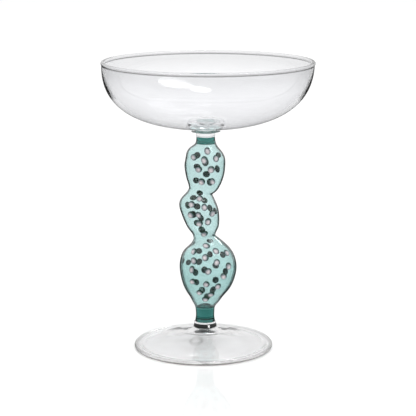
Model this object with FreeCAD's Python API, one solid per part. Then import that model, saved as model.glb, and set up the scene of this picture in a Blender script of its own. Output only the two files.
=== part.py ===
import FreeCAD, Part
import math
import os

# Stemmed cocktail glass in lampworked glass: a clear saucer bowl and a clear disc foot,
# joined by a teal stem that is blown as three stacked cactus pads with raised dots.
# Millimetres, +Z up. The origin is the centre of the ring that the foot rests on.

Vector = FreeCAD.Vector

# ---- overall -------------------------------------------------------------------------
TOTAL_HEIGHT = 151.5
LOWER_AXIS_X = 0.85          # the stem stands a little off the foot's centre, as it was made by hand
UPPER_AXIS_X = 1.2
RIM_CENTRE_X = 2.5

# ---- foot ----------------------------------------------------------------------------
FOOT_RADIUS = 36.5
FOOT_EDGE_RADIUS = 0.95      # half the thickness of the rounded lip
FOOT_TOP_Z = 10.4
FOOT_TOP_RADIUS = 6.5
REST_INNER_RADIUS = 31.5
FOOT_TRUMPET = [(7.9, 9.1), (11.5, 7.1), (18.7, 4.9), (27.9, 2.9)]
FOOT_HOLLOW = [(24.0, 0.4), (14.0, 3.2), (6.0, 5.0)]
FOOT_HOLLOW_TOP_Z = 5.0

# ---- stem, from the foot up ----------------------------------------------------------
WELD_RING_TOP_Z = 12.2
WELD_RING_RADIUS = 6.85
FOOT_COLLAR_TOP_Z = 13.6
LOWER_NECK_FOOT_RADIUS = 5.3
LOWER_NECK_WAIST_RADIUS = 4.78
LOWER_NECK_TOP_Z = 21.4
LOWER_NECK_TOP_RADIUS = 5.2
UPPER_NECK_BOTTOM_Z = 109.0
UPPER_NECK_BOTTOM_RADIUS = 5.3
UPPER_NECK_TOP_Z = 112.3
UPPER_NECK_TOP_RADIUS = 4.8
BOWL_COLLAR_TOP_Z = 114.5
BOWL_COLLAR_TOP_RADIUS = 6.6
WELD_DISC_RADIUS = 7.5
WELD_DISC_ROUND = 0.3        # how far the disc's rounded edge stands out

# ---- pads ----------------------------------------------------------------------------
PAD_WALL = 1.0
# One ring is (height of centre, centre x, half width, half depth over half width, tilt in degrees).
# A positive tilt lifts the +X end of the ring.
LOWER_WAIST = (59.0, 0.45, 5.74, 0.92, 10.0)
UPPER_WAIST = (83.5, -1.45, 6.23, 0.90, -14.9)
LOWER_PAD_RINGS = [
    (LOWER_NECK_TOP_Z, LOWER_AXIS_X, LOWER_NECK_TOP_RADIUS, 1.0, 0.0),
    (25.3, 1.3, 7.5, 0.96, 0.0),
    (28.6, 1.65, 9.9, 0.92, 0.0),
    (33.5, 2.15, 12.85, 0.88, 0.0),
    (38.4, 2.4, 14.4, 0.86, 0.0),
    (43.0, 2.45, 15.0, 0.85, 0.0),
    (47.5, 2.35, 14.4, 0.85, 0.0),
    (51.4, 2.2, 12.8, 0.86, 0.5),
    (54.9, 1.75, 9.65, 0.89, 4.5),
    (57.4, 1.15, 7.1, 0.91, 8.0),
    LOWER_WAIST,
]
MIDDLE_PAD_RINGS = [
    LOWER_WAIST,
    (62.6, 0.05, 7.15, 0.90, 0.8),
    (66.1, -0.6, 8.8, 0.87, -1.3),
    (71.1, -1.65, 9.95, 0.85, -4.0),
    (75.1, -2.45, 10.2, 0.85, -4.5),
    (79.7, -2.6, 8.55, 0.87, -4.7),
    (82.1, -1.75, 6.85, 0.89, -9.0),
    UPPER_WAIST,
]
UPPER_PAD_RINGS = [
    UPPER_WAIST,
    (85.8, 0.1, 7.75, 0.88, -6.7),
    (88.3, 0.55, 8.85, 0.87, -2.0),
    (93.0, 0.8, 10.15, 0.85, 0.0),
    (98.0, 0.8, 10.6, 0.85, 0.0),
    (103.5, 0.7, 9.5, 0.88, 0.0),
    (106.2, 0.4, 7.75, 0.94, 0.0),
    (107.8, 0.85, 6.05, 0.98, 0.0),
    (UPPER_NECK_BOTTOM_Z, UPPER_AXIS_X, UPPER_NECK_BOTTOM_RADIUS, 1.0, 0.0),
]

# ---- raised dots ---------------------------------------------------------------------
DOT_RADIUS = 1.6
DOT_RISE = 0.75              # how far a dot stands out of the pad
# Dots on each side of each pad, as (x, z). Their depth is where the pad's surface is.
DOTS = {
    "upper_pad_front_dots": [
        (2.0, 106.0), (-5.0, 102.5), (6.5, 102.0), (0.5, 101.5),
        (-2.5, 96.5), (4.0, 96.5), (-1.0, 90.0), (4.5, 90.0),
    ],
    "upper_pad_back_dots": [
        (-3.5, 101.0), (8.0, 101.5), (1.0, 97.0), (-3.5, 95.0),
        (7.5, 94.0), (1.5, 91.0), (-4.0, 88.0), (3.5, 87.0),
    ],
    "middle_pad_front_dots": [
        (-2.0, 81.0), (-6.0, 78.0), (0.5, 76.5), (-6.5, 72.5), (-2.5, 72.5),
        (4.5, 73.0), (2.5, 69.0), (-2.0, 68.0), (0.5, 62.0),
    ],
    "middle_pad_back_dots": [
        (-2.0, 81.5), (-5.5, 78.5), (0.5, 77.0), (-8.5, 74.5), (-3.5, 73.5), (-5.5, 69.5),
        (-1.5, 67.5), (3.5, 73.0), (6.5, 72.0), (2.5, 65.5), (-3.5, 65.0), (-1.0, 61.5),
    ],
    "lower_pad_front_dots": [
        (1.5, 56.0), (-5.0, 53.0), (6.5, 53.5), (12.0, 52.0), (1.0, 50.5), (-5.0, 48.5),
        (7.0, 48.0), (13.0, 45.5), (-6.0, 44.0), (2.5, 43.5), (10.5, 40.5), (-5.5, 37.5),
        (1.5, 36.5), (7.5, 35.0), (-2.0, 31.5), (4.0, 30.5), (1.0, 27.5),
    ],
    "lower_pad_back_dots": [
        (3.5, 55.0), (-2.5, 48.5), (10.5, 47.0), (3.5, 46.5), (-11.5, 45.0), (-8.5, 43.0),
        (-2.5, 42.5), (6.5, 40.5), (-4.5, 37.0), (0.5, 38.0), (12.0, 38.0), (-4.0, 32.0),
        (6.5, 33.0), (-1.0, 28.0), (5.0, 28.0), (2.0, 25.0),
    ],
}

# ---- bowl ----------------------------------------------------------------------------
BOWL_RADIUS = 55.0
BOWL_BOTTOM_Z = 115.7
BOWL_WALL = 1.2
BOWL_FLAT_RADIUS = 7.6
BEAD_RADIUS = 0.95           # half the thickness of the fire-polished rim
BUTTON_RADIUS = 10.4
BUTTON_RISE = 1.7            # the raised button in the middle of the bowl's floor


def point(radius, height):
    return Vector(radius, 0.0, height)


def line(start, end):
    return Part.makeLine(start, end)


def arc(start, through, end):
    return Part.Arc(start, through, end).toShape()


def spline(points):
    curve = Part.BSplineCurve()
    curve.interpolate(points)
    return curve.toShape()


def bezier(points):
    curve = Part.BezierCurve()
    curve.setPoles(points)
    return curve.toShape()


def revolve(edges, axis_x=0.0):
    """A solid of revolution about Z from a closed half outline, moved to axis_x."""
    face = Part.Face(Part.Wire(Part.__sortEdges__(edges)))
    solid = face.revolve(Vector(0, 0, 0), Vector(0, 0, 1), 360)
    solid.translate(Vector(axis_x, 0, 0))
    return solid


def slab(bottom_z, top_z, side, axis_x):
    """A round slab: flat top and bottom, with the side edge given from bottom to top."""
    low = side.Vertexes[0].Point
    high = side.Vertexes[-1].Point
    edges = [
        line(point(0, bottom_z), low),
        side,
        line(high, point(0, top_z)),
        line(point(0, top_z), point(0, bottom_z)),
    ]
    return revolve(edges, axis_x)


def lean(solid, slope, fixed_z, shift=0.0):
    """Slide every level sideways in X in proportion to its height above fixed_z."""
    matrix = FreeCAD.Matrix()
    matrix.A13 = slope
    matrix.A14 = shift - slope * fixed_z
    return solid.transformGeometry(matrix)


def half_space(split_z, above):
    """A large box on one side of a level."""
    size = 4.0 * BOWL_RADIUS
    low_z = split_z if above else split_z - size
    return Part.makeBox(size, size, size, Vector(-size / 2, -size / 2, low_z))


# ---- foot ----------------------------------------------------------------------------
def make_foot():
    lip_x = FOOT_RADIUS - FOOT_EDGE_RADIUS
    lip_top = point(lip_x, 2 * FOOT_EDGE_RADIUS)
    trumpet = [point(FOOT_TOP_RADIUS, FOOT_TOP_Z)]
    trumpet += [point(radius, height) for radius, height in FOOT_TRUMPET]
    trumpet.append(lip_top)
    hollow = [point(REST_INNER_RADIUS, 0)]
    hollow += [point(radius, height) for radius, height in FOOT_HOLLOW]
    hollow.append(point(0, FOOT_HOLLOW_TOP_Z))
    edges = [
        line(point(0, FOOT_TOP_Z), trumpet[0]),
        spline(trumpet),
        arc(lip_top, point(FOOT_RADIUS, FOOT_EDGE_RADIUS), point(lip_x, 0)),
        line(point(lip_x, 0), hollow[0]),
        bezier(hollow),
        line(hollow[-1], point(0, FOOT_TOP_Z)),
    ]
    straight = revolve(edges)
    # The lip stays level and round; above it the trumpet leans to meet the stem.
    split_z = FOOT_EDGE_RADIUS
    lip = straight.common(half_space(split_z, above=False))
    trumpet_part = straight.common(half_space(split_z, above=True))
    slope = LOWER_AXIS_X / (FOOT_TOP_Z - split_z)
    return lip.fuse(lean(trumpet_part, slope, split_z))


# ---- welds, collars and necks --------------------------------------------------------
def make_foot_weld_ring():
    middle_z = (FOOT_TOP_Z + WELD_RING_TOP_Z) / 2
    side = arc(
        point(FOOT_TOP_RADIUS, FOOT_TOP_Z),
        point(WELD_RING_RADIUS, middle_z),
        point(FOOT_TOP_RADIUS, WELD_RING_TOP_Z),
    )
    return slab(FOOT_TOP_Z, WELD_RING_TOP_Z, side, LOWER_AXIS_X)


def make_foot_collar():
    height = FOOT_COLLAR_TOP_Z - WELD_RING_TOP_Z
    side = bezier([
        point(FOOT_TOP_RADIUS - 0.1, WELD_RING_TOP_Z),
        point(FOOT_TOP_RADIUS - 0.3, WELD_RING_TOP_Z + 0.4 * height),
        point(LOWER_NECK_FOOT_RADIUS + 0.2, FOOT_COLLAR_TOP_Z - 0.3 * height),
        point(LOWER_NECK_FOOT_RADIUS, FOOT_COLLAR_TOP_Z),
    ])
    return slab(WELD_RING_TOP_Z, FOOT_COLLAR_TOP_Z, side, LOWER_AXIS_X)


def make_lower_neck():
    side = bezier([
        point(LOWER_NECK_FOOT_RADIUS, FOOT_COLLAR_TOP_Z),
        point(LOWER_NECK_WAIST_RADIUS, FOOT_COLLAR_TOP_Z + 1.6),
        point(LOWER_NECK_WAIST_RADIUS - 0.2, LOWER_NECK_TOP_Z - 3.5),
        point(LOWER_NECK_TOP_RADIUS, LOWER_NECK_TOP_Z),
    ])
    return slab(FOOT_COLLAR_TOP_Z, LOWER_NECK_TOP_Z, side, LOWER_AXIS_X)


def make_upper_neck():
    side = bezier([
        point(UPPER_NECK_BOTTOM_RADIUS, UPPER_NECK_BOTTOM_Z),
        point(UPPER_NECK_TOP_RADIUS, UPPER_NECK_BOTTOM_Z + 1.2),
        point(UPPER_NECK_TOP_RADIUS, UPPER_NECK_TOP_Z),
    ])
    return slab(UPPER_NECK_BOTTOM_Z, UPPER_NECK_TOP_Z, side, UPPER_AXIS_X)


def make_bowl_collar():
    side = bezier([
        point(UPPER_NECK_TOP_RADIUS, UPPER_NECK_TOP_Z),
        point(UPPER_NECK_TOP_RADIUS, BOWL_COLLAR_TOP_Z - 0.6),
        point(BOWL_COLLAR_TOP_RADIUS, BOWL_COLLAR_TOP_Z),
    ])
    return slab(UPPER_NECK_TOP_Z, BOWL_COLLAR_TOP_Z, side, UPPER_AXIS_X)


def make_bowl_weld_disc():
    flat_radius = WELD_DISC_RADIUS - WELD_DISC_ROUND
    middle_z = (BOWL_COLLAR_TOP_Z + BOWL_BOTTOM_Z) / 2
    side = arc(
        point(flat_radius, BOWL_COLLAR_TOP_Z),
        point(WELD_DISC_RADIUS, middle_z),
        point(flat_radius, BOWL_BOTTOM_Z),
    )
    return slab(BOWL_COLLAR_TOP_Z, BOWL_BOTTOM_Z, side, UPPER_AXIS_X)


# ---- pads and dots -------------------------------------------------------------------
def ring_wire(ring, inset):
    height, centre_x, half_width, depth_ratio, tilt = ring
    angle = math.radians(tilt)
    wide = half_width - inset
    deep = half_width * depth_ratio - inset
    centre = Vector(centre_x, 0, height)
    wide_end = centre + Vector(wide * math.cos(angle), 0, wide * math.sin(angle))
    deep_end = centre + Vector(0, deep, 0)
    return Part.Wire(Part.Ellipse(wide_end, deep_end, centre).toShape())


def pad_body(rings, inset=0.0):
    """A smooth solid through the rings, shrunk all round by inset."""
    return Part.makeLoft([ring_wire(ring, inset) for ring in rings], True, False)


def make_pad(rings):
    return pad_body(rings).cut(pad_body(rings, PAD_WALL))


def surface_frame(body, x, z, side_y):
    """The point of the body's skin at (x, z) on the side side_y, and the outward normal there."""
    far = 2.0 * FOOT_RADIUS
    ray = Part.makeLine(Vector(x, side_y * far, z), Vector(x, 0, z))
    inside = ray.common(body)
    skin = max((vertex.Point for vertex in inside.Vertexes), key=lambda place: side_y * place.y)
    for face in body.Faces:
        near = face.distToShape(Part.Vertex(skin))[0]
        if near < 1e-4:
            u, v = face.Surface.parameter(skin)
            normal = face.normalAt(u, v)
            return skin, normal
    raise ValueError("no skin at %g, %g" % (x, z))


def make_dot(body, x, z, side_y):
    """A low round button that stands on the pad's skin and is cut to fit it."""
    skin, normal = surface_frame(body, x, z, side_y)
    if normal.y * side_y < 0:
        normal = normal * -1.0
    button = Part.makeSphere(DOT_RADIUS)
    flatten = FreeCAD.Matrix()
    flatten.A33 = DOT_RISE / DOT_RADIUS
    button = button.transformGeometry(flatten)
    button.Placement = FreeCAD.Placement(skin, FreeCAD.Rotation(Vector(0, 0, 1), normal))
    return button.cut(body)


def make_dots(places, body, side_y):
    return Part.makeCompound([make_dot(body, x, z, side_y) for x, z in places])


# ---- bowl ----------------------------------------------------------------------------
def make_bowl():
    bead_x = BOWL_RADIUS - BEAD_RADIUS
    bead_z = TOTAL_HEIGHT - BEAD_RADIUS
    half_wall = BOWL_WALL / 2
    join_z = bead_z - math.sqrt(BEAD_RADIUS ** 2 - half_wall ** 2)
    outer_x = bead_x + half_wall
    inner_x = bead_x - half_wall
    floor_z = BOWL_BOTTOM_Z + BOWL_WALL
    outer = bezier([
        point(BOWL_FLAT_RADIUS, BOWL_BOTTOM_Z),
        point(28.0, BOWL_BOTTOM_Z),
        point(47.4, BOWL_BOTTOM_Z + 6.2),
        point(outer_x, BOWL_BOTTOM_Z + 18.8),
        point(outer_x, join_z),
    ])
    inner = bezier([
        point(inner_x, join_z),
        point(inner_x, floor_z + 18.0),
        point(46.3, floor_z + 6.0),
        point(27.5, floor_z),
        point(BUTTON_RADIUS, floor_z),
    ])
    button = arc(
        point(BUTTON_RADIUS, floor_z),
        point(0.55 * BUTTON_RADIUS, floor_z + 0.72 * BUTTON_RISE),
        point(0, floor_z + BUTTON_RISE),
    )
    edges = [
        line(point(0, BOWL_BOTTOM_Z), point(BOWL_FLAT_RADIUS, BOWL_BOTTOM_Z)),
        outer,
        arc(point(outer_x, join_z), point(bead_x, TOTAL_HEIGHT), point(inner_x, join_z)),
        inner,
        button,
        line(point(0, floor_z + BUTTON_RISE), point(0, BOWL_BOTTOM_Z)),
    ]
    slope = (RIM_CENTRE_X - UPPER_AXIS_X) / (TOTAL_HEIGHT - BOWL_BOTTOM_Z)
    return lean(revolve(edges), slope, BOWL_BOTTOM_Z, UPPER_AXIS_X)


# ---- build and write -----------------------------------------------------------------
def build():
    rings = {
        "lower_pad": LOWER_PAD_RINGS,
        "middle_pad": MIDDLE_PAD_RINGS,
        "upper_pad": UPPER_PAD_RINGS,
    }
    nodes = {
        "foot": make_foot(),
        "foot_weld_ring": make_foot_weld_ring(),
        "foot_collar": make_foot_collar(),
        "lower_neck": make_lower_neck(),
        "upper_neck": make_upper_neck(),
        "bowl_collar": make_bowl_collar(),
        "bowl_weld_disc": make_bowl_weld_disc(),
        "bowl": make_bowl(),
    }
    for name, pad_rings in rings.items():
        nodes[name] = make_pad(pad_rings)
        body = pad_body(pad_rings)
        nodes[name + "_front_dots"] = make_dots(DOTS[name + "_front_dots"], body, -1)
        nodes[name + "_back_dots"] = make_dots(DOTS[name + "_back_dots"], body, 1)
    return nodes


os.makedirs("parts", exist_ok=True)
for node, shape in build().items():
    print(node, "valid", shape.isValid(), "solids", len(shape.Solids), "volume %.1f" % shape.Volume)
    shape.exportStep("parts/%s.step" % node)
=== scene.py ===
import math

import bpy
import numpy as np
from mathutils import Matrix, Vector
from mathutils.kdtree import KDTree


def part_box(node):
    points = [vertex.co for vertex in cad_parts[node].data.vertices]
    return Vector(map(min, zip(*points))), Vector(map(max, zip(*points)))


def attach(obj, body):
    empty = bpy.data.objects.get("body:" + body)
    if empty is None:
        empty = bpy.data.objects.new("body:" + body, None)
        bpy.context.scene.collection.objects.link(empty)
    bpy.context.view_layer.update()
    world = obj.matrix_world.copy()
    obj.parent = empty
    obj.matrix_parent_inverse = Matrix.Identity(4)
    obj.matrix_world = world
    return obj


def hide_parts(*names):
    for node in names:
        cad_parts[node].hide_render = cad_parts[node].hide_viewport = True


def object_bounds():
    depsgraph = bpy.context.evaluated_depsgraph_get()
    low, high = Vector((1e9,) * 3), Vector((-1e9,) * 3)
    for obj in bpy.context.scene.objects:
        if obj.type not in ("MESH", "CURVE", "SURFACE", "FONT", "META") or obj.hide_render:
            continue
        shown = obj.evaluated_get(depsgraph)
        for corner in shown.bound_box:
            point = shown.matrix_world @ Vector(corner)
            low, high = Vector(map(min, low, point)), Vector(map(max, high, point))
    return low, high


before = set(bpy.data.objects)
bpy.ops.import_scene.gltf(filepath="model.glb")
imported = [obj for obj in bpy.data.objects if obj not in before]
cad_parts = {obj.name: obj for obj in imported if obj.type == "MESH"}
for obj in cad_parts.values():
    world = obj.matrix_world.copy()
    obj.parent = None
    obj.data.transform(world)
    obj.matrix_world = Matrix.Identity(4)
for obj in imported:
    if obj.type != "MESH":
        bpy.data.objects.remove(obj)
CAD_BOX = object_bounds()

# ---- general sizes, in metres ----------------------------------------------------------
MM = 0.001
ROOT = "root"
ROUND_STEPS = 160            # steps round the bowl and the foot
STEM_STEPS = 96              # steps round the stem
SMALL_STEPS = 72             # steps round the small collars and discs
DOT_STEPS = 22

# ---- bowl and foot ---------------------------------------------------------------------
BEAD = 0.95 * MM             # half the thickness of the fire-polished edges
BOWL_WALL = 1.2 * MM
BUTTON_RADIUS = 10.4 * MM
BUTTON_RISE = 2.4 * MM
BOWL_CONTACT = 4.7 * MM      # radius of the bowl's flat contact with the weld disc
BOWL_STEP = 1.8 * MM         # how far the bowl's underside steps up round the weld
BOWL_STEP_WIDTH = 1.0 * MM
FOOT_REST_RADIUS = 31.5 * MM
FOOT_HOLLOW = 8.8 * MM       # height of the hollow under the foot
LIP_LINE = 27.0              # painted shade: the foot's lip is dark below this many degrees under its widest place
LIP_FADE = 9.0               # degrees over which that line fades above it
LIP_BACK = 0.2               # how strong the line still is at the back
REFLECTION_MARK_AT = (-4.1 * MM, -12.4 * MM)  # painted reflection in the foot's slope: the middle of a darker ring
REFLECTION_MARK_RADIUS = 2.9 * MM
REFLECTION_MARK_DARK = 0.34
REFLECTION_STREAK_DARK = 0.28            # a darker streak beside that ring, part of the same painted reflection

# ---- stem ------------------------------------------------------------------------------
# The blown wall by height, both in mm: thick by the lower neck, thin in the top two pads.
WALL_HEIGHTS = [22.0, 30.0, 40.0, 56.0, 64.0, 109.0]
WALL_THICKNESSES = [1.05, 0.95, 0.85, 0.74, 0.50, 0.46]
CAVITY_SAG = 0.5 * MM        # height of the rounded roof of the air space
CAVITY_FLOOR_RISE = 1.4 * MM  # the solid lower neck ends in a dome inside the lowest pad
JOINT_GAP = 0.03 * MM        # keeps the faces of fused pieces apart

# ---- glass -----------------------------------------------------------------------------
GLASS_IOR = 1.474            # borosilicate
STREAK_SCALE = 90.0          # noise scales, in cells per metre
SEED_SCALE = 260.0
RIPPLE_SCALE = 75.0
POLISH_SCALE = 140.0
DOT_EDGE_SCALE = 900.0
DOT_MOTTLE_SCALE = 1500.0
DOT_PIT_SCALE = 1100.0
TEAL_ABSORB = (0.0, 0.464, 0.43)
TEAL_DENSITY = 318.0         # per metre

# ---- camera ----------------------------------------------------------------------------
CAMERA_SIDE = 2.4 * MM
CAMERA_DISTANCE = 782.6 * MM
CAMERA_HEIGHT = 235.9 * MM
CAMERA_PITCH = 11.655
CAMERA_LENS = 132.3
CAMERA_SENSOR = 36.0         # millimetres, like the lens


# ==== mesh helpers ======================================================================
def add_mesh(name, verts, faces, material, shades=None):
    """A smooth-shaded mesh object, with a shade value at each vertex."""
    mesh = bpy.data.meshes.new(name)
    mesh.from_pydata([tuple(vert) for vert in verts], [], faces)
    if shades is not None:
        layer = mesh.attributes.new("shade", "FLOAT", "POINT")
        layer.data.foreach_set("value", shades)
    mesh.validate()
    for polygon in mesh.polygons:
        polygon.use_smooth = True
    piece = bpy.data.objects.new(name, mesh)
    bpy.context.scene.collection.objects.link(piece)
    piece.data.materials.append(material)
    return piece


def tube_faces(rows, steps, first=0):
    """Quads between rows of a closed tube, the rows running up and the steps running round."""
    faces = []
    for row in range(rows - 1):
        for step in range(steps):
            following = (step + 1) % steps
            low = first + row * steps
            high = low + steps
            faces.append((low + step, low + following, high + following, high + step))
    return faces


def lathe(name, profile, material, steps=ROUND_STEPS, centre_at=None, wave=None, shade=None):
    """Turns a closed half outline, from the axis to the axis, into a solid.

    profile holds (radius, height); its first and last points lie on the axis. centre_at gives the
    axis's x at a height, and wave the radius's small changes by angle and radius. shade gives the
    value of the mesh's shade attribute at a (radius, height, angle)."""
    verts = []
    shades = []
    inner = profile[1:-1]
    for radius, height in inner:
        for step in range(steps):
            angle = 2 * math.pi * step / steps
            reach = radius + (wave(angle, radius) if wave else 0.0)
            axis_x = centre_at(height) if centre_at else 0.0
            verts.append((axis_x + reach * math.cos(angle), reach * math.sin(angle), height))
            shades.append(shade(radius, height, angle) if shade else 0.0)
    faces = tube_faces(len(inner), steps)
    for pole, row, flip in ((profile[0], 0, True), (profile[-1], len(inner) - 1, False)):
        pole_index = len(verts)
        axis_x = centre_at(pole[1]) if centre_at else 0.0
        verts.append((axis_x, 0.0, pole[1]))
        shades.append(0.0)
        for step in range(steps):
            here = row * steps + step
            following = row * steps + (step + 1) % steps
            faces.append((pole_index, following, here) if flip else (pole_index, here, following))
    return add_mesh(name, verts, faces, material, shades)


def bezier_points(poles, count):
    """Points along a Bezier curve of any order, its last point left out."""
    order = len(poles) - 1
    points = []
    for index in range(count):
        t = index / count
        radius = 0.0
        height = 0.0
        for k, pole in enumerate(poles):
            weight = math.comb(order, k) * (1 - t) ** (order - k) * t ** k
            radius += weight * pole[0]
            height += weight * pole[1]
        points.append((radius, height))
    return points


def arc_points(centre, radius, start, end, count):
    """Points on an arc, angles in degrees, its last point left out."""
    points = []
    for index in range(count):
        angle = math.radians(start + (end - start) * index / count)
        points.append((centre[0] + radius * math.cos(angle), centre[1] + radius * math.sin(angle)))
    return points


def straight_points(start, end, count):
    """Points on a straight run, its last point left out."""
    across = end[0] - start[0]
    up = end[1] - start[1]
    points = []
    for index in range(count):
        points.append((start[0] + across * index / count, start[1] + up * index / count))
    return points


def spline_rows(keys, count):
    """Rows of a natural cubic spline through the rows of keys, evenly spaced along it."""
    keys = np.asarray(keys, float)
    gaps = np.maximum(np.linalg.norm(np.diff(keys[:, :3], axis=0), axis=1), 1e-9)
    knots = np.concatenate([[0.0], np.cumsum(gaps)])
    size = len(knots)
    system = np.eye(size)
    right = np.zeros_like(keys)
    for row in range(1, size - 1):
        before = knots[row] - knots[row - 1]
        after = knots[row + 1] - knots[row]
        system[row, row - 1:row + 2] = (before, 2 * (before + after), after)
        rise = (keys[row + 1] - keys[row]) / after - (keys[row] - keys[row - 1]) / before
        right[row] = 6 * rise
    bends = np.linalg.solve(system, right)
    rows = []
    for place in np.linspace(0.0, knots[-1], count):
        row = min(int(np.searchsorted(knots, place, side="right")) - 1, size - 2)
        span = knots[row + 1] - knots[row]
        low = (knots[row + 1] - place) / span
        high = (place - knots[row]) / span
        value = low * keys[row] + high * keys[row + 1]
        bend = (low ** 3 - low) * bends[row] + (high ** 3 - high) * bends[row + 1]
        value += bend * span ** 2 / 6
        rows.append(value)
    return np.array(rows)


# ==== reading the frame =================================================================
def node_arrays(node):
    """A CAD node's vertices and triangle corners as arrays."""
    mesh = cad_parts[node].data
    verts = np.array([vert.co[:] for vert in mesh.vertices])
    mesh.calc_loop_triangles()
    corners = np.array([triangle.vertices[:] for triangle in mesh.loop_triangles])
    return verts, corners


def measure_ring(arrays, centre_z, tilt):
    """The outline of a CAD node where a plane tilted about Y cuts it.

    Returned as centre x, centre z, half width, half depth and tilt in radians."""
    verts, corners = arrays
    pivot = np.array([0.0, 0.0, centre_z])
    along = np.array([math.cos(tilt), 0.0, math.sin(tilt)])
    normal = np.array([-math.sin(tilt), 0.0, math.cos(tilt)])
    side = (verts - pivot) @ normal
    hits = []
    for first, second in ((0, 1), (1, 2), (2, 0)):
        start = corners[:, first]
        end = corners[:, second]
        crossing = side[start] * side[end] <= 0
        start = start[crossing]
        end = end[crossing]
        gap = side[start] - side[end]
        keep = np.abs(gap) > 1e-12
        share = (side[start][keep] / gap[keep])[:, None]
        hits.append(verts[start[keep]] + share * (verts[end[keep]] - verts[start[keep]]))
    hits = np.concatenate(hits)
    reach = (hits - pivot) @ along
    middle = pivot + along * (reach.min() + reach.max()) / 2
    half_width = (reach.max() - reach.min()) / 2
    half_depth = (hits[:, 1].max() - hits[:, 1].min()) / 2
    return np.array([middle[0], middle[2], half_width, half_depth, tilt])


def shared_ring(node_a, node_b):
    """The ring where two CAD nodes meet: the same five numbers."""
    close = 0.02 * MM
    verts_a = node_arrays(node_a)[0]
    verts_b = node_arrays(node_b)[0]
    tree = KDTree(len(verts_b))
    for index, vert in enumerate(verts_b):
        tree.insert(vert, index)
    tree.balance()
    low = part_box(node_b)[0][2] - close
    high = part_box(node_a)[1][2] + close
    near = verts_a[(verts_a[:, 2] > low) & (verts_a[:, 2] < high)]
    shared = np.array([vert for vert in near if tree.find(vert)[2] < close])
    left = shared[shared[:, 0].argmin()]
    right = shared[shared[:, 0].argmax()]
    across = right - left
    tilt = math.atan2(across[2], across[0])
    half_depth = (shared[:, 1].max() - shared[:, 1].min()) / 2
    middle = (left + right) / 2
    return np.array([middle[0], middle[2], math.hypot(across[0], across[2]) / 2, half_depth, tilt])


# ==== materials =========================================================================
def colour_ramp(nodes, stops, smooth=False):
    """A colour ramp node; stops are (position, (r, g, b))."""
    ramp = nodes.new("ShaderNodeValToRGB")
    ramp.color_ramp.interpolation = "EASE" if smooth else "LINEAR"
    elements = ramp.color_ramp.elements
    while len(elements) < len(stops):
        elements.new(0.5)
    for element, (position, colour) in zip(elements, stops):
        element.position = position
        element.color = (*colour, 1.0)
    return ramp


def greys(stops, tint=(1.0, 1.0, 1.0)):
    """Ramp stops from (position, brightness), all in one tint."""
    return [(position, tuple(bright * part for part in tint)) for position, bright in stops]


def noise(nodes, links, place, scale, stretch=(1.0, 1.0, 1.0), detail=2.0):
    """A noise texture over the object's own space, stretched along its axes."""
    mapping = nodes.new("ShaderNodeMapping")
    mapping.inputs["Scale"].default_value = stretch
    links.new(place, mapping.inputs["Vector"])
    texture = nodes.new("ShaderNodeTexNoise")
    texture.inputs["Scale"].default_value = scale
    texture.inputs["Detail"].default_value = detail
    links.new(mapping.outputs["Vector"], texture.inputs["Vector"])
    return texture.outputs["Fac"]


def multiply(nodes, links, colour_a, colour_b):
    mix = nodes.new("ShaderNodeMix")
    mix.data_type = "RGBA"
    mix.blend_type = "MULTIPLY"
    mix.inputs["Factor"].default_value = 1.0
    links.new(colour_a, mix.inputs["A"])
    links.new(colour_b, mix.inputs["B"])
    return mix.outputs["Result"]


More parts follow.
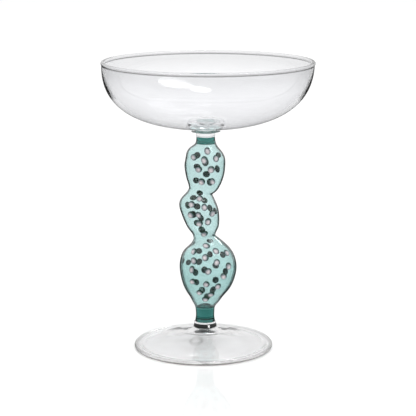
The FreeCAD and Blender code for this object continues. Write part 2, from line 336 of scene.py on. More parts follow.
def glass(name, stops, shade_stops=None, absorb=None, density=0.0, ripple=0.12, streaks=0.03,
          roughness=(0.0, 0.02), fade=None):
    """Hand-worked glass.

    stops gives the surface tint by the layer weight's facing value, from seen straight on to seen
    aslant: painted shade, mostly darkening the edges in place of the dark surroundings that real
    glass edges bend into view, partly for the longer path through aslant glass. shade_stops gives
    the painted shade where the mesh's shade attribute is 1. absorb and density colour the inside.
    fade is (low height, high height, tint), painted shade that greys the glass towards its top.
    The surface has a slow ripple from being blown and turned, faint streaks, tiny seeds and
    patches that are a little less polished."""
    material = bpy.data.materials.new(name)
    material.use_nodes = True
    nodes = material.node_tree.nodes
    links = material.node_tree.links
    shader = nodes["Principled BSDF"]
    place = nodes.new("ShaderNodeTexCoord").outputs["Object"]

    # painted shade: the tint follows how aslant the surface is seen
    slant = nodes.new("ShaderNodeLayerWeight")
    ramp = colour_ramp(nodes, stops)
    links.new(slant.outputs["Facing"], ramp.inputs["Fac"])
    tint = ramp.outputs["Color"]
    # painted shade where the mesh's shade attribute is 1
    if shade_stops:
        shade_ramp = colour_ramp(nodes, shade_stops)
        links.new(slant.outputs["Facing"], shade_ramp.inputs["Fac"])
        shade = nodes.new("ShaderNodeAttribute")
        shade.attribute_name = "shade"
        mix = nodes.new("ShaderNodeMix")
        mix.data_type = "RGBA"
        links.new(shade.outputs["Fac"], mix.inputs["Factor"])
        links.new(tint, mix.inputs["A"])
        links.new(shade_ramp.outputs["Color"], mix.inputs["B"])
        tint = mix.outputs["Result"]

    flow = noise(nodes, links, place, STREAK_SCALE, (1.0, 1.0, 3.0), 4.0)
    streak = colour_ramp(nodes, greys([(0.3, 1.0 - streaks), (0.6, 1.0)]), smooth=True)
    links.new(flow, streak.inputs["Fac"])
    tint = multiply(nodes, links, tint, streak.outputs["Color"])

    seeds = nodes.new("ShaderNodeTexVoronoi")
    seeds.inputs["Scale"].default_value = SEED_SCALE
    links.new(place, seeds.inputs["Vector"])
    seed_ramp = colour_ramp(nodes, greys([(0.02, 0.72), (0.05, 1.0)]))
    links.new(seeds.outputs["Distance"], seed_ramp.inputs["Fac"])
    tint = multiply(nodes, links, tint, seed_ramp.outputs["Color"])
    # painted shade: greyer towards the top
    if fade:
        split = nodes.new("ShaderNodeSeparateXYZ")
        links.new(place, split.inputs["Vector"])
        grey = nodes.new("ShaderNodeMapRange")
        grey.inputs["From Min"].default_value = fade[0]
        grey.inputs["From Max"].default_value = fade[1]
        grey.inputs["To Min"].default_value = 1.0
        grey.inputs["To Max"].default_value = fade[2]
        links.new(split.outputs["Z"], grey.inputs["Value"])
        tint = multiply(nodes, links, tint, grey.outputs["Result"])
    links.new(tint, shader.inputs["Base Color"])

    bump = nodes.new("ShaderNodeBump")
    bump.inputs["Strength"].default_value = ripple
    bump.inputs["Distance"].default_value = 0.4 * MM
    swell = noise(nodes, links, place, RIPPLE_SCALE, (1.0, 1.0, 2.2))
    links.new(swell, bump.inputs["Height"])
    links.new(bump.outputs["Normal"], shader.inputs["Normal"])

    polish = nodes.new("ShaderNodeMapRange")
    polish.inputs["From Min"].default_value = 0.45
    polish.inputs["From Max"].default_value = 0.75
    polish.inputs["To Min"].default_value = roughness[0]
    polish.inputs["To Max"].default_value = roughness[1]
    links.new(noise(nodes, links, place, POLISH_SCALE), polish.inputs["Value"])
    links.new(polish.outputs["Result"], shader.inputs["Roughness"])

    shader.inputs["IOR"].default_value = GLASS_IOR
    shader.inputs["Transmission Weight"].default_value = 1.0
    if absorb:
        volume = nodes.new("ShaderNodeVolumeAbsorption")
        volume.inputs["Color"].default_value = (*absorb, 1.0)
        volume.inputs["Density"].default_value = density
        links.new(volume.outputs["Volume"], nodes["Material Output"].inputs["Volume"])
    return material


def dot_glass():
    """Raised frit dots, in their own pale lilac on the crown and dark green underneath; the dark
    green round the rim is painted shade, and a paler lower left is painted light.
    """
    material = bpy.data.materials.new("dot_glass")
    material.use_nodes = True
    nodes = material.node_tree.nodes
    links = material.node_tree.links
    shader = nodes["Principled BSDF"]
    place = nodes.new("ShaderNodeTexCoord").outputs["Object"]
    crown = nodes.new("ShaderNodeAttribute")
    crown.attribute_name = "shade"
    wander = nodes.new("ShaderNodeMath")
    wander.operation = "MULTIPLY_ADD"
    wander.inputs[1].default_value = 0.5
    wander.inputs[2].default_value = -0.25
    links.new(noise(nodes, links, place, DOT_EDGE_SCALE, detail=3.0), wander.inputs[0])
    level = nodes.new("ShaderNodeMath")
    level.operation = "ADD"
    links.new(crown.outputs["Fac"], level.inputs[0])
    links.new(wander.outputs[0], level.inputs[1])
    # the dots' own dark green underneath and pale lilac crown; the darker steps round the rim are
    # painted shade
    ramp = colour_ramp(nodes, [
        (0.0, (0.005, 0.024, 0.011)),
        (0.34, (0.010, 0.040, 0.026)),
        (0.46, (0.08, 0.13, 0.14)),
        (0.64, (0.23, 0.24, 0.26)),
        (0.85, (0.49, 0.47, 0.49)),
        (1.0, (0.66, 0.62, 0.63)),
    ])
    links.new(level.outputs[0], ramp.inputs["Fac"])
    mottle = colour_ramp(nodes, greys([(0.35, 0.8), (0.65, 1.0)]))
    links.new(noise(nodes, links, place, DOT_MOTTLE_SCALE, detail=4.0), mottle.inputs["Fac"])
    links.new(multiply(nodes, links, ramp.outputs["Color"], mottle.outputs["Color"]),
              shader.inputs["Base Color"])
    bump = nodes.new("ShaderNodeBump")
    bump.inputs["Strength"].default_value = 0.25
    bump.inputs["Distance"].default_value = 0.15 * MM
    links.new(noise(nodes, links, place, DOT_PIT_SCALE), bump.inputs["Height"])
    links.new(bump.outputs["Normal"], shader.inputs["Normal"])
    shader.inputs["Roughness"].default_value = 0.12
    shader.inputs["IOR"].default_value = GLASS_IOR
    shader.inputs["Specular IOR Level"].default_value = 0.25
    shader.inputs["Coat Weight"].default_value = 0.25
    shader.inputs["Coat Roughness"].default_value = 0.03
    return material


CLEAR_TINT = (0.985, 0.988, 1.0)
# EDGE_TINT colours the painted shade lines along the bowl's bead and round its button
EDGE_TINT = (0.97, 0.98, 1.0)
TEAL_TINT = (0.93, 1.0, 0.99)
PAD_TINT = (0.914, 1.0, 1.0)
# painted shade: the bowl darkens at its aslant edges and greys towards its top, and its shade stops
# paint dark lines along the bead and round the button
BOWL_GLASS = glass(
    "bowl_glass",
    greys([(0.0, 0.978), (0.25, 0.97), (0.42, 0.955), (0.55, 0.94), (0.66, 0.93), (0.86, 0.93),
           (0.98, 0.86)], CLEAR_TINT),
    greys([(0.0, 0.30), (0.5, 0.18), (1.0, 0.08)], EDGE_TINT),
    ripple=0.05, streaks=0.015, fade=(138.0 * MM, 147.0 * MM, 0.86),
)
# painted shade: the foot is a little darker where seen straight on, which greys its steep trumpet;
# its brown shade stops paint the lip's dark line and the painted reflection in its slope
FOOT_GLASS = glass(
    "foot_glass",
    greys([(0.0, 0.88), (0.4, 0.92), (0.7, 0.96), (0.85, 0.98), (1.0, 0.98)], (0.995, 0.995, 1.0)),
    greys([(0.0, 0.06), (1.0, 0.04)], (1.0, 0.75, 0.62)),
    ripple=0.06, streaks=0.04,
)
# painted shade: the collars darken a little at their aslant edges
CLEAR_GLASS = glass(
    "collar_glass",
    greys([(0.0, 1.0), (0.7, 0.99), (0.9, 0.97), (1.0, 0.8)], CLEAR_TINT),
    ripple=0.05, streaks=0.02,
)
# painted shade: the pads darken to black as their surface turns aslant, which draws their dark
# outlines
TEAL_GLASS = glass(
    "teal_glass",
    greys([(0.0, 0.93), (0.50, 0.925), (0.58, 0.86), (0.63, 0.45), (0.67, 0.02), (0.70, 0.0),
           (1.0, 0.0)], PAD_TINT),
    absorb=TEAL_ABSORB, density=TEAL_DENSITY, ripple=0.12, streaks=0.05,
)
# painted shade: the weld ring is tinted near black, darkest on its side, in place of the darkness
# that its bulging edge shows by refraction
RING_GLASS = glass(
    "teal_ring_glass",
    greys([(0.0, 0.35), (1.0, 0.2)], TEAL_TINT),
    greys([(0.0, 0.04), (0.3, 0.02), (1.0, 0.004)], TEAL_TINT),
    absorb=TEAL_ABSORB, density=1.5 * TEAL_DENSITY, ripple=0.25, streaks=0.3,
)
# painted shade: the weld disc darkens at its aslant edges and most of all on its side
DISC_GLASS = glass(
    "teal_disc_glass",
    greys([(0.0, 0.95), (0.8, 0.93), (1.0, 0.8)], TEAL_TINT),
    greys([(0.0, 0.8), (0.5, 0.5), (1.0, 0.2)], TEAL_TINT),
    absorb=TEAL_ABSORB, density=0.7 * TEAL_DENSITY, ripple=0.25, streaks=0.2,
)
DOT_GLASS = dot_glass()


# ==== pieces ============================================================================
RING_X, RING_Z, RING_WIDE, RING_DEEP, RING_TILT = range(5)


def pad_keys(node, low_ring, high_ring, count):
    """Rings measured on a CAD pad, on planes that turn from its low end ring to its high one."""
    arrays = node_arrays(node)
    keys = []
    for index in range(1, count):
        share = index / count
        mixed = (1 - share) * low_ring + share * high_ring
        level = mixed[RING_Z] - mixed[RING_X] * math.tan(mixed[RING_TILT])
        keys.append(measure_ring(arrays, level, mixed[RING_TILT]))
    return keys


def neck_keys(node, count):
    """Level rings measured on a CAD neck, from just above its bottom to just below its top."""
    arrays = node_arrays(node)
    low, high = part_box(node)
    edge = 0.01 * MM
    levels = np.linspace(low[2] + edge, high[2] - edge, count)
    return [measure_ring(arrays, level, 0.0) for level in levels]


def ring_points(ring, steps=STEM_STEPS, inset=0.0):
    """Points round an elliptical ring."""
    wide = ring[RING_WIDE] - inset
    deep = ring[RING_DEEP] - inset
    tilt = ring[RING_TILT]
    points = []
    for step in range(steps):
        angle = 2 * math.pi * step / steps
        across = wide * math.cos(angle)
        points.append((
            ring[RING_X] + across * math.cos(tilt),
            deep * math.sin(angle),
            ring[RING_Z] + across * math.sin(tilt),
        ))
    return points


def stem_rings():
    """Rings round the stem's outside, from the lower neck's foot to the upper neck's top."""
    lower_waist = shared_ring("lower_pad", "middle_pad")
    upper_waist = shared_ring("middle_pad", "upper_pad")
    lower_neck = neck_keys("lower_neck", 5)
    upper_neck = neck_keys("upper_neck", 4)
    lower_pad = pad_keys("lower_pad", lower_neck[-1], lower_waist, 14)
    middle_pad = pad_keys("middle_pad", lower_waist, upper_waist, 10)
    upper_pad = pad_keys("upper_pad", upper_waist, upper_neck[0], 11)
    low_part = lower_neck + lower_pad + [lower_waist]
    middle_part = [lower_waist] + middle_pad + [upper_waist]
    high_part = [upper_waist] + upper_pad + upper_neck
    rows = [
        spline_rows(low_part, 110)[:-1],
        spline_rows(middle_part, 60)[:-1],
        spline_rows(high_part, 80),
    ]
    return np.concatenate(rows)


def roof_rings(ring, sag, count=8):
    """Rings that close a cavity's top: nearly flat, with a round edge."""
    rings = []
    for index in range(1, count):
        angle = 0.5 * math.pi * index / count
        closed = ring.copy()
        closed[RING_WIDE] *= math.sqrt(math.cos(angle))
        closed[RING_DEEP] *= math.sqrt(math.cos(angle))
        closed[RING_Z] += sag * math.sqrt(math.sin(angle))
        rings.append(closed)
    return rings


def floor_rings(ring, rise, count=10):
    """Rings of a low dome that stands on a cavity's lowest ring, from its top down."""
    rings = []
    for index in range(1, count):
        angle = 0.5 * math.pi * index / count
        inner = ring.copy()
        inner[RING_WIDE] *= math.sin(angle)
        inner[RING_DEEP] *= math.sin(angle)
        inner[RING_Z] += rise * (1.0 - math.sin(angle) ** 3)
        rings.append(inner)
    return rings


def close_end(verts, faces, first, centre, steps, upward):
    """Joins a ring of points to a centre point."""
    pole = len(verts)
    verts.append(centre)
    for step in range(steps):
        here = first + step
        following = first + (step + 1) % steps
        faces.append((pole, here, following) if upward else (pole, following, here))


def make_stem(material):
    """The teal glass from neck to neck: one skin round three pads, one long air space inside."""
    rings = stem_rings()
    verts = []
    for ring in rings:
        verts += ring_points(ring)
    faces = tube_faces(len(rings), STEM_STEPS)
    last = (len(rings) - 1) * STEM_STEPS
    close_end(verts, faces, 0, (rings[0][RING_X], 0.0, rings[0][RING_Z]), STEM_STEPS, False)
    close_end(verts, faces, last, (rings[-1][RING_X], 0.0, rings[-1][RING_Z]), STEM_STEPS, True)

    low_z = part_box("lower_pad")[0][2]
    high_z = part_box("upper_pad")[1][2]
    cavity = []
    for ring in rings:
        if low_z < ring[RING_Z] < high_z - CAVITY_SAG:
            hollow = ring.copy()
            wall = MM * np.interp(ring[RING_Z] / MM, WALL_HEIGHTS, WALL_THICKNESSES)
            hollow[RING_WIDE] -= wall
            hollow[RING_DEEP] -= wall
            cavity.append(hollow)
    floor = floor_rings(cavity[0], CAVITY_FLOOR_RISE)
    cavity = floor + cavity + roof_rings(cavity[-1], CAVITY_SAG)
    first = len(verts)
    for ring in cavity:
        verts += ring_points(ring)
    inward = tube_faces(len(cavity), STEM_STEPS, first)
    faces += [tuple(reversed(face)) for face in inward]
    last = first + (len(cavity) - 1) * STEM_STEPS
    bottom = (cavity[0][RING_X], 0.0, cavity[0][RING_Z])
    top = (cavity[-1][RING_X], 0.0, cavity[-1][RING_Z])
    close_end(verts, faces, first, bottom, STEM_STEPS, True)
    close_end(verts, faces, last, top, STEM_STEPS, False)
    return add_mesh("cactus_stem", verts, faces, material)


def make_bowl(material):
    """Thin saucer bowl with a fire-polished bead and a raised button in its floor.

    The shade attribute paints shade: a dark line along the bead's lower edge, a little on its
    crown, and some round the button's edge."""
    low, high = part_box("bowl")
    radius = (high[1] - low[1]) / 2
    bottom = low[2]
    top = high[2]
    disc_low, disc_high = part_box("bowl_weld_disc")
    bottom_x = (disc_low[0] + disc_high[0]) / 2
    rim_x = high[0] - radius
    bead_x = radius - BEAD
    bead_z = top - BEAD
    join = math.degrees(math.acos(0.5 * BOWL_WALL / BEAD))
    join_z = bead_z - BEAD * math.sin(math.radians(join))
    outer_x = bead_x + BOWL_WALL / 2
    inner_x = bead_x - BOWL_WALL / 2
    floor = bottom + BOWL_STEP + BOWL_WALL
    step_out = BOWL_CONTACT + BOWL_STEP_WIDTH
    profile = [(0.0, bottom)]
    profile += straight_points((BOWL_CONTACT * 0.2, bottom), (BOWL_CONTACT, bottom), 4)
    profile += straight_points((BOWL_CONTACT, bottom), (step_out, bottom + BOWL_STEP), 3)
    profile += bezier_points([
        (step_out, bottom + BOWL_STEP),
        (26.0 * MM, bottom + BOWL_STEP),
        (49.0 * MM, bottom + 6.5 * MM),
        (outer_x, bottom + 21.0 * MM),
        (outer_x, join_z),
    ], 90)
    profile += arc_points((bead_x, bead_z), BEAD, -join, 180 + join, 28)
    profile += bezier_points([
        (inner_x, join_z),
        (inner_x, floor + 19.6 * MM),
        (47.8 * MM, floor + 5.3 * MM),
        (25.5 * MM, floor),
        (BUTTON_RADIUS, floor),
    ], 90)
    profile += bezier_points([
        (BUTTON_RADIUS, floor),
        (BUTTON_RADIUS * 0.98, floor),
        (BUTTON_RADIUS * 0.96, floor + BUTTON_RISE * 1.1),
        (BUTTON_RADIUS * 0.80, floor + BUTTON_RISE * 1.1),
        (0.0, floor + BUTTON_RISE * 0.7),
    ], 22)
    profile.append((0.0, floor + BUTTON_RISE * 0.7))

    def axis(height):
        return bottom_x + (rim_x - bottom_x) * (height - bottom) / (top - bottom)

    def shade(reach, height, _angle):
        # painted shade: a dark line where the bead meets the wall, a little on the bead's crown,
        # and round the button's edge
        if height > join_z - 0.6 * MM:
            line = math.exp(-((height - join_z - 0.05 * MM) / (0.26 * MM)) ** 2)
            crown = 0.22 * math.exp(-((height - top) / (0.3 * MM)) ** 2)
            return max(line, crown)
        if height > floor and reach < 1.2 * BUTTON_RADIUS:
            return 0.5 * math.exp(-((reach - 0.93 * BUTTON_RADIUS) / (0.45 * MM)) ** 2)
        return 0.0

    return lathe("bowl_glass", profile, material, centre_at=axis, shade=shade)


def make_foot(material):
    """Clear disc foot with a thick rolled lip, that rises like a trumpet to the stem.

    The shade attribute paints the lip's dark line as painted shade, strongest in front, and a
    painted reflection in the slope: a darker ring with a streak beside it."""
    low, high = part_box("foot")
    radius = (high[1] - low[1]) / 2
    top = high[2]
    ring_low, ring_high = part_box("foot_weld_ring")
    top_x = (ring_low[0] + ring_high[0]) / 2
    lip_x = radius - BEAD
    trumpet = [
        (6.0 * MM, top), (7.5 * MM, 9.0 * MM), (11.2 * MM, 7.0 * MM),
        (18.7 * MM, 4.9 * MM), (27.9 * MM, 2.7 * MM), (lip_x - 1.6 * MM, 1.55 * MM),
    ]
    keys = np.array([(reach, height, 0.0) for reach, height in trumpet])
    slope = spline_rows(keys, 70)
    hollow = [
        (FOOT_REST_RADIUS, 0.0), (24.0 * MM, 2.0 * MM), (12.0 * MM, 2.8 * MM),
        (7.0 * MM, FOOT_HOLLOW), (0.0, FOOT_HOLLOW),
    ]
    profile = [(0.0, FOOT_HOLLOW)]
    profile += bezier_points(hollow[::-1], 50)[1:]
    profile += straight_points((FOOT_REST_RADIUS, 0.0), (lip_x, 0.0), 4)
    profile += arc_points((lip_x, BEAD), BEAD, -90, 115, 26)
    profile += [(row[0], row[1]) for row in slope[::-1]]
    profile += straight_points((5.9 * MM, top), (0.0, top), 4)
    profile.append((0.0, top))

    def axis(height):
        return top_x * max(0.0, height - BEAD) / (top - BEAD)

    def shade(reach, height, angle):
        if reach < lip_x:
            if height < 1.2 * MM:
                return 0.0
            # painted reflection: a darker ring, and a streak beside it, in the foot's slope
            out = reach * math.cos(angle) - REFLECTION_MARK_AT[0]
            along = reach * math.sin(angle) - REFLECTION_MARK_AT[1]
            ring = math.exp(-((math.hypot(out, along) - REFLECTION_MARK_RADIUS) / (0.8 * MM)) ** 2)
            trail = 0.0
            if out < -REFLECTION_MARK_RADIUS:
                trail = math.exp(-(along / (1.1 * MM) + 0.35 * out / MM) ** 2 + out / (9.0 * MM))
            return REFLECTION_MARK_DARK * ring + REFLECTION_STREAK_DARK * trail
        # painted shade: the lip's dark line, strongest in front and weaker at the back
        rise = max(-1.0, min(1.0, (height - BEAD) / BEAD))
        slope = math.degrees(math.asin(rise))
        front = 0.5 - 0.5 * math.sin(angle)
        line = math.exp(-(max(0.0, slope + LIP_LINE) / LIP_FADE) ** 2)
        return (LIP_BACK + (1.0 - LIP_BACK) * front) * line

    return lathe("foot_glass", profile, material, centre_at=axis, shade=shade)


def make_slab(name, node, side, material, uneven=0.0, ends=(0.0, 0.0)):
    """A round slab in the place of a CAD node. side holds (radius, share of the height) from the
    bottom to the top; uneven is how far the hand-made edge wanders; ends moves the bottom and
    the top."""
    low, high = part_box(node)
    centre_x = (low[0] + high[0]) / 2
    bottom = low[2] + ends[0] + JOINT_GAP
    top = high[2] + ends[1] - JOINT_GAP
    rise = top - bottom
    profile = [(0.0, bottom)]
    profile += straight_points((side[0][0] * 0.1, bottom), (side[0][0] * 0.97, bottom), 5)
    profile += [(radius, bottom + share * rise) for radius, share in side]
    profile += straight_points((side[-1][0] * 0.97, top), (side[-1][0] * 0.1, top), 6)
    profile.append((0.0, top))

    def wave(angle, radius):
        reach = radius / side[0][0]
        return uneven * reach * (math.sin(2 * angle + 0.6) + 0.6 * math.sin(5 * angle + 2.0))

    def shade(_reach, height, _angle):
        # this shade value marks where the ring's and disc's materials paint shade: none on the top
        # and bottom faces, full over most of the side
        share = (height - bottom) / rise
        return min(1.0, 6.0 * min(share, 1.0 - share))

    return lathe(name, profile, material, SMALL_STEPS, lambda _height: centre_x, wave, shade)


def islands(node):
    """The separate solids of a CAD node, each as an array of its points."""
    verts, corners = node_arrays(node)
    keys = {}
    merged = np.empty(len(verts), int)
    for index, vert in enumerate(np.round(verts / (0.002 * MM)).astype(int)):
        merged[index] = keys.setdefault(tuple(vert), len(keys))
    parent = list(range(len(keys)))

    def root(index):
        while parent[index] != index:
            parent[index] = parent[parent[index]]
            index = parent[index]
        return index

    for a, b, c in merged[corners]:
        parent[root(a)] = root(b)
        parent[root(b)] = root(c)
    groups = {}
    for index in range(len(verts)):
        groups.setdefault(root(merged[index]), []).append(index)
    return [verts[group] for group in groups.values() if len(group) > 8]


PAINTED_LIGHT_LEAN = 0.17            # painted light: how much paler a dot is towards its lower left
DOT_GROWTH = (0.99, 1.11)    # a dot's radius, as shares of the CAD dot's
DOT_OVAL = 0.14              # how far from round the least round dot is
DOT_SINK = 0.4               # how deep a dot's base is sunk, as a share of its rise
# A dot's outline as (share of its radius, share of its rise, shade), from under to crown. The shade
# runs from the dots' own dark green underside to their pale crown; its darker values round the rim
# are painted shade.
DOT_OUTLINE = [
    (0.90, -0.40, 0.0), (1.0, -0.1, 0.05), (1.03, 0.10, 0.15), (1.0, 0.3, 0.3), (0.90, 0.55, 0.45),
    (0.74, 0.76, 0.60), (0.54, 0.90, 0.76), (0.28, 0.98, 0.90),
]


def make_dots(node, material, seed):
    """The raised dots of one side of one pad: low domes with sunk bases, none quite round."""
    rng = np.random.default_rng(seed)
    verts = []
    faces = []
    shades = []
    for points in islands(node):
        mean = points.mean(axis=0)
        spread = points - mean
        normal = np.linalg.svd(spread, full_matrices=False)[2][2]
        if normal @ (mean * (0, 1, 0)) < 0:
            normal = -normal
        heights = spread @ normal
        rise = heights.max() - heights.min()
        base = mean + normal * heights.min()
        side = np.cross(normal, (0.0, 0.0, 1.0))
        side /= np.linalg.norm(side)
        up = np.cross(side, normal)
        radius = max(np.abs(spread @ side).max(), np.abs(spread @ up).max())
        radius *= rng.uniform(*DOT_GROWTH)
        oval = 1.0 + DOT_OVAL * rng.uniform(0.0, 1.0)
        turn = rng.uniform(0.0, math.pi)
        lean = radius * np.array([rng.uniform(-0.16, 0.16), rng.uniform(-0.24, 0.02)])
        first = len(verts)
        for reach, height, shade in DOT_OUTLINE:
            for step in range(DOT_STEPS):
                angle = 2 * math.pi * step / DOT_STEPS
                across = radius * reach * math.cos(angle) * oval
                along = radius * reach * math.sin(angle) / oval
                x = across * math.cos(turn) - along * math.sin(turn) + lean[0] * max(height, 0.0)
                y = across * math.sin(turn) + along * math.cos(turn) + lean[1] * max(height, 0.0)
                verts.append(base + side * x + up * y + normal * height * rise)
                # painted light: the dot's upper part is paler towards its lower left and darker
                # towards its upper right
                lit = PAINTED_LIGHT_LEAN * (x - y) / radius if height > 0.0 else 0.0
                shades.append(shade + lit)
        faces += tube_faces(len(DOT_OUTLINE), DOT_STEPS, first)
        under = base - normal * DOT_SINK * rise
        close_end(verts, faces, first, under, DOT_STEPS, False)
        shades.append(0.0)
        crown = base + side * lean[0] + up * lean[1] + normal * rise
        close_end(verts, faces, first + (len(DOT_OUTLINE) - 1) * DOT_STEPS, crown, DOT_STEPS, True)
        shades.append(1.0)
    return add_mesh(node + "_glass", verts, faces, material, shades)


def dress(piece, slot, *nodes):
    """Puts a finished piece in place of its CAD nodes."""
    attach(piece, ROOT)
    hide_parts(*nodes)
    return piece


def node_radius(node):
    low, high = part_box(node)
    return (high[1] - low[1]) / 2


RING_SHARE = 0.885           # the ring's radius as a share of the CAD ring's
RING_RADIUS = RING_SHARE * node_radius("foot_weld_ring")
DISC_RADIUS = node_radius("bowl_weld_disc")
RING_CREEP = 0.7 * MM        # the teal ring has crept this far up into the clear collar
# The ring's side leans in a little towards its top.
RING_SIDE = [
    (RING_RADIUS - 0.5 * MM, 0.0), (RING_RADIUS - 0.15 * MM, 0.04), (RING_RADIUS, 0.14),
    (RING_RADIUS - 0.07 * MM, 0.32), (RING_RADIUS - 0.17 * MM, 0.5),
    (RING_RADIUS - 0.30 * MM, 0.68),
    (RING_RADIUS - 0.45 * MM, 0.84), (RING_RADIUS - 0.65 * MM, 0.95), (RING_RADIUS - 0.9 * MM, 1.0),
]
FOOT_COLLAR_SIDE = [
    (5.9 * MM, 0.0), (5.95 * MM, 0.12), (5.85 * MM, 0.3), (5.7 * MM, 0.5), (5.55 * MM, 0.7),
    (5.4 * MM, 0.88), (5.3 * MM, 1.0),
]
BOWL_COLLAR_SIDE = [
    (4.75 * MM, 0.0), (4.85 * MM, 0.08), (4.85 * MM, 0.3), (4.85 * MM, 0.55), (4.9 * MM, 0.78),
    (5.0 * MM, 0.93), (5.15 * MM, 1.0),
]
# The weld disc is thick in its middle and thins to an edge.
DISC_SIDE = [
    (4.4 * MM, 0.0), (4.9 * MM, 0.2), (6.2 * MM, 0.34), (DISC_RADIUS - 0.1 * MM, 0.40),
    (DISC_RADIUS, 0.5), (DISC_RADIUS - 0.1 * MM, 0.60), (6.2 * MM, 0.68), (4.9 * MM, 0.82),
    (4.4 * MM, 1.0),
]

foot = dress(make_foot(FOOT_GLASS), "clear_glass", "foot")
ring = make_slab("foot_ring_glass", "foot_weld_ring", RING_SIDE, RING_GLASS, 0.08 * MM,
                 (0.0, RING_CREEP))
dress(ring, "teal_solid_glass", "foot_weld_ring")
dress(make_slab("foot_collar_glass", "foot_collar", FOOT_COLLAR_SIDE, CLEAR_GLASS, 0.04 * MM,
                (RING_CREEP, 0.0)), "clear_glass", "foot_collar")
stem = dress(make_stem(TEAL_GLASS), "teal_pad_glass",
             "lower_neck", "lower_pad", "middle_pad", "upper_pad", "upper_neck")
dress(make_slab("bowl_collar_glass", "bowl_collar", BOWL_COLLAR_SIDE, CLEAR_GLASS, 0.03 * MM),
      "clear_glass", "bowl_collar")
disc = make_slab("bowl_disc_glass", "bowl_weld_disc", DISC_SIDE, DISC_GLASS, 0.08 * MM)
dress(disc, "teal_pad_glass", "bowl_weld_disc")
bowl = dress(make_bowl(BOWL_GLASS), "bowl_glass", "bowl")
for seed, node in enumerate(sorted(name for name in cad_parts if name.endswith("_dots"))):
    dress(make_dots(node, DOT_GLASS, seed), "dot_glass", node)


# ==== stage, light and camera ===========================================================
FLOOR_SIZE = 30.0            # half the width, metres
FLOOR_DROP = 0.1 * MM        # keeps the floor's face off the foot's
FLOOR_GLOSS = 0.7            # at the foot, fading to none between these distances
FLOOR_GLOSS_NEAR = 0.03
FLOOR_GLOSS_FAR = 0.15
LIGHT_DISTANCE = 2.5
WORLD_STRENGTH = 1.06
# What mirror reflections see, by height: 0 is straight down, 0.5 the horizon, 1 straight up.
GLOSSY_ROOM = [(0.0, 0.05), (0.46, 0.05), (0.49, 0.8), (0.66, 0.85), (0.74, 1.0)]
# The softboxes: degrees round from the front (right is positive), degrees up, width, height,
# power.
SOFTBOXES = {
    "softbox_right": (50.0, 45.0, 1.5, 0.8, 9.0),
    "softbox_top": (15.0, 69.0, 1.1, 0.65, 6.0),
    "softbox_bowl_right": (66.5, 60.5, 1.05, 1.7, 16.9),
    "softbox_bowl_top": (108.0, 86.0, 0.9, 0.55, 5.0),
    "softbox_back_right": (133.0, 36.5, 0.45, 0.3, 4.0),
    "softbox_back": (177.4, 26.5, 0.14, 0.2, 0.6),
    "softbox_glint": (44.0, 16.0, 0.95, 1.7, 120.0),
}


def only(*pieces):
    """A collection of a few pieces, for a light that shines on them alone."""
    group = bpy.data.collections.new("only_" + pieces[0].name)
    for piece in pieces:
        group.objects.link(piece)
    return group


def all_but(piece):
    """A collection for a light that shines on everything except one piece."""
    group = bpy.data.collections.new("all_but_" + piece.name)
    group.objects.link(piece)
    group.collection_objects[0].light_linking.link_state = "EXCLUDE"
    return group


LIT_PIECES = {
    "softbox_right": all_but(bowl),
    "softbox_top": all_but(bowl),
    "softbox_bowl_right": only(bowl),
    "softbox_bowl_top": only(bowl),
    "softbox_back_right": only(stem),
    "softbox_back": only(foot),
    "softbox_glint": only(ring, disc),
}


def make_floor():
    """A smooth white table, glossiest round the foot."""
    half = FLOOR_SIZE
    verts = [(-half, -half, 0), (half, -half, 0), (half, half, 0), (-half, half, 0)]
    material = bpy.data.materials.new("white_table")
    material.use_nodes = True
    nodes = material.node_tree.nodes
    links = material.node_tree.links
    shader = nodes["Principled BSDF"]
    shader.inputs["Base Color"].default_value = (0.92, 0.92, 0.92, 1.0)
    shader.inputs["Roughness"].default_value = 0.05
    away = nodes.new("ShaderNodeVectorMath")
    away.operation = "LENGTH"
    links.new(nodes.new("ShaderNodeTexCoord").outputs["Object"], away.inputs[0])
    gloss = nodes.new("ShaderNodeMapRange")
    gloss.inputs["From Min"].default_value = FLOOR_GLOSS_NEAR
    gloss.inputs["From Max"].default_value = FLOOR_GLOSS_FAR
    gloss.inputs["To Min"].default_value = FLOOR_GLOSS
    gloss.inputs["To Max"].default_value = 0.0
    links.new(away.outputs["Value"], gloss.inputs["Value"])
    links.new(gloss.outputs["Result"], shader.inputs["Specular IOR Level"])
    floor = add_mesh("floor", verts, [(0, 1, 2, 3)], material)
    floor.location.z = -FLOOR_DROP
    floor.visible_glossy = False


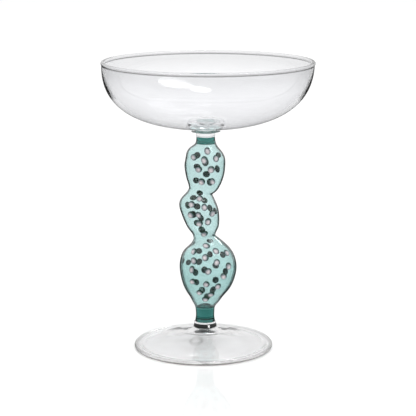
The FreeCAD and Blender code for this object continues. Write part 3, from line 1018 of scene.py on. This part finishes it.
def make_world():
    """White all round, but mirror reflections see a room that is dark below the horizon."""
    world = bpy.data.worlds.new("studio")
    world.use_nodes = True
    nodes = world.node_tree.nodes
    links = world.node_tree.links
    place = nodes.new("ShaderNodeTexCoord")
    split = nodes.new("ShaderNodeSeparateXYZ")
    links.new(place.outputs["Generated"], split.inputs["Vector"])
    level = nodes.new("ShaderNodeMapRange")
    level.inputs["From Min"].default_value = -1.0
    links.new(split.outputs["Z"], level.inputs["Value"])
    room = colour_ramp(nodes, greys(GLOSSY_ROOM))
    links.new(level.outputs["Result"], room.inputs["Fac"])
    path = nodes.new("ShaderNodeLightPath")
    mix = nodes.new("ShaderNodeMix")
    mix.data_type = "RGBA"
    mix.inputs["A"].default_value = (1.0, 1.0, 1.0, 1.0)
    links.new(path.outputs["Is Glossy Ray"], mix.inputs["Factor"])
    links.new(room.outputs["Color"], mix.inputs["B"])
    background = nodes["Background"]
    links.new(mix.outputs["Result"], background.inputs["Color"])
    background.inputs["Strength"].default_value = WORLD_STRENGTH
    bpy.context.scene.world = world


def make_softboxes():
    """Large soft lights round the glass, all facing it."""
    middle = Vector((0.0, 0.0, (CAD_BOX[0][2] + CAD_BOX[1][2]) / 2))
    for name, (turn, rise, width, height, power) in SOFTBOXES.items():
        data = bpy.data.lights.new(name, "AREA")
        data.shape = "ELLIPSE"
        data.size = width
        data.size_y = height
        data.energy = power
        light = bpy.data.objects.new(name, data)
        bpy.context.scene.collection.objects.link(light)
        turn = math.radians(turn)
        rise = math.radians(rise)
        way = Vector((
            math.sin(turn) * math.cos(rise),
            -math.cos(turn) * math.cos(rise),
            math.sin(rise),
        ))
        light.location = middle + LIGHT_DISTANCE * way
        light.rotation_euler = way.to_track_quat("Z", "Y").to_euler()
        light.visible_camera = False
        if name in LIT_PIECES:
            light.light_linking.receiver_collection = LIT_PIECES[name]


def make_camera():
    data = bpy.data.cameras.new("camera")
    data.lens = CAMERA_LENS
    data.sensor_width = CAMERA_SENSOR
    camera = bpy.data.objects.new("camera", data)
    bpy.context.scene.collection.objects.link(camera)
    camera.location = (CAMERA_SIDE, -CAMERA_DISTANCE, CAMERA_HEIGHT)
    camera.rotation_euler = (math.radians(90.0 - CAMERA_PITCH), 0.0, 0.0)
    bpy.context.scene.camera = camera


make_floor()
make_world()
make_softboxes()
make_camera()
scene = bpy.context.scene
scene.view_settings.view_transform = "Standard"
# Light runs a long way inside clear glass, so the paths are long, and nothing blurs them.
scene.cycles.max_bounces = 48
scene.cycles.glossy_bounces = 32
scene.cycles.transmission_bounces = 32
scene.cycles.diffuse_bounces = 6
scene.cycles.blur_glossy = 0.0
